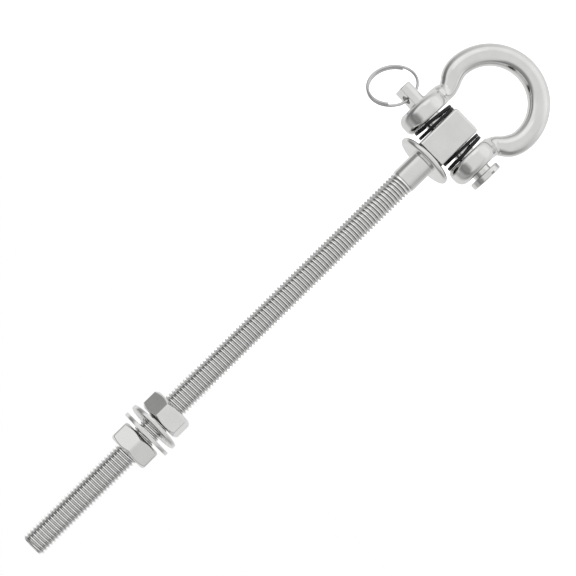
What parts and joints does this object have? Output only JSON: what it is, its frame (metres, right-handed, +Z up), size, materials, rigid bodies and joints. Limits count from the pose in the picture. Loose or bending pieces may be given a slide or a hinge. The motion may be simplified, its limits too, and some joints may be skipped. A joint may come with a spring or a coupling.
{
  "type": "swivel shackle hanger",
  "caption": "Through-bolt swing hanger: a long threaded rod with a flange and clamp nuts, a swivel block, and a bow shackle on a clevis pin kept by a split ring.",
  "frame": {"origin": "On the rod's axis, at the face of the flange that bears on the beam.", "axes": "+Z runs up the rod to its free end, so the shackle hangs toward -Z. +X runs along the clevis pin toward its split ring. The front of the block faces -Y."},
  "size_m": [0.0652, 0.024, 0.2713],
  "materials": {
    "polished_steel": "polished",
    "satin_steel": "satin",
    "spring_steel": "bright drawn wire",
    "black_nylon": "matte",
    "bearing_plastic": "matte"
  },
  "bodies": {
    "rod": {"threaded_rod": "polished_steel", "flange": "polished_steel"},
    "swivel": {"swivel_block": "polished_steel", "gland_nut": "satin_steel", "thrust_ring": "bearing_plastic", "thrust_washer": "bearing_plastic"},
    "shackle": {"shackle_bow": "polished_steel"},
    "pin": {"shackle_pin": "polished_steel"},
    "ring": {"split_ring": "spring_steel"},
    "nylon_1": {"nylon_washer_1": "black_nylon"},
    "nylon_2": {"nylon_washer_2": "black_nylon"},
    "nylon_3": {"nylon_washer_3": "black_nylon"},
    "nylon_4": {"nylon_washer_4": "black_nylon"},
    "outer_washer": {"outer_washer": "satin_steel"},
    "outer_nut": {"outer_nut": "satin_steel"},
    "inner_washer": {"inner_washer": "satin_steel"},
    "inner_nut": {"inner_nut": "satin_steel"}
  },
  "joints": [
    {"name": "swivel_spin", "type": "hinge", "parent": "rod", "child": "swivel", "pos_m": [0, 0, -0.0149], "axis": [0, 0, 1], "continuous": true},
    {"name": "shackle_swing", "type": "hinge", "parent": "swivel", "child": "shackle", "pos_m": [0, 0, -0.0149], "axis": [0.9997, 0, -0.0227], "range_deg": [-135, 135]},
    {"name": "pin_spin", "type": "hinge", "parent": "shackle", "child": "pin", "pos_m": [0, 0, -0.0149], "axis": [0.9997, 0, -0.0227], "continuous": true},
    {"name": "ring_swing", "type": "hinge", "parent": "pin", "child": "ring", "pos_m": [0.02189, 0, -0.0154], "axis": [0.0221, -0.2334, 0.9721], "range_deg": [-105, 42]},
    {"name": "nylon_1_spin", "type": "hinge", "parent": "shackle", "child": "nylon_1", "pos_m": [0, 0, -0.0149], "axis": [0.9997, 0, -0.0227], "continuous": true},
    {"name": "nylon_2_spin", "type": "hinge", "parent": "swivel", "child": "nylon_2", "pos_m": [0, 0, -0.0149], "axis": [0.9997, 0, -0.0227], "continuous": true},
    {"name": "nylon_3_spin", "type": "hinge", "parent": "swivel", "child": "nylon_3", "pos_m": [0, 0, -0.0149], "axis": [0.9997, 0, -0.0227], "continuous": true},
    {"name": "nylon_4_spin", "type": "hinge", "parent": "shackle", "child": "nylon_4", "pos_m": [0, 0, -0.0149], "axis": [0.9997, 0, -0.0227], "continuous": true},
    {"name": "outer_nut_travel", "type": "slide", "parent": "rod", "child": "outer_washer", "axis": [0, 0, 1], "range_m": [-0.00051, 0.0451]},
    {"name": "outer_nut_turn", "type": "hinge", "parent": "outer_washer", "child": "outer_nut", "pos_m": [0, 0, 0.153], "axis": [0, 0, 1], "range_deg": [-120, 10800]},
    {"name": "inner_nut_travel", "type": "slide", "parent": "rod", "child": "inner_washer", "axis": [0, 0, 1], "range_m": [-0.1201, 0.00051]},
    {"name": "inner_nut_turn", "type": "hinge", "parent": "inner_washer", "child": "inner_nut", "pos_m": [0, 0, 0.14], "axis": [0, 0, 1], "range_deg": [-28800, 120]}
  ],
  "couplings": [
    {"joint": "outer_nut_travel", "follows": "outer_nut_turn", "m_per_rad": 0.00023873},
    {"joint": "inner_nut_travel", "follows": "inner_nut_turn", "m_per_rad": 0.00023873}
  ]
}
